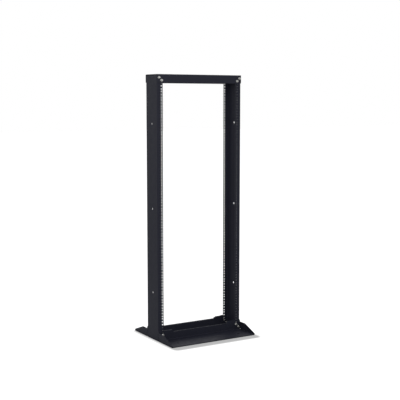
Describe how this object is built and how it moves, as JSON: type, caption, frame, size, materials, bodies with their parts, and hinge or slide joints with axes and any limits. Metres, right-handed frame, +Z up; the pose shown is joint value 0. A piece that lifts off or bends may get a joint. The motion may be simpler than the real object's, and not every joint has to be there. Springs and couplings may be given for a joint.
{
  "type": "two post open frame rack",
  "caption": "Open frame relay rack: two channel posts with rows of rack holes, joined by a top channel and standing on low formed feet with gusset ends.",
  "frame": {"origin": "on the floor, midway between the posts and midway between the tips of the feet", "axes": "+Z up, +X to the right as seen from the front, +Y from the front to the rear"},
  "size_m": [0.516, 0.424, 1.41],
  "materials": {
    "black_powder_coat": "semi-gloss black powder coat on bent sheet steel"
  },
  "bodies": {
    "root": {"left_post": "black_powder_coat", "right_post": "black_powder_coat", "top_channel": "black_powder_coat", "front_foot": "black_powder_coat", "rear_foot": "black_powder_coat", "front_left_gusset": "black_powder_coat", "front_right_gusset": "black_powder_coat", "rear_left_gusset": "black_powder_coat", "rear_right_gusset": "black_powder_coat"}
  },
  "joints": []
}
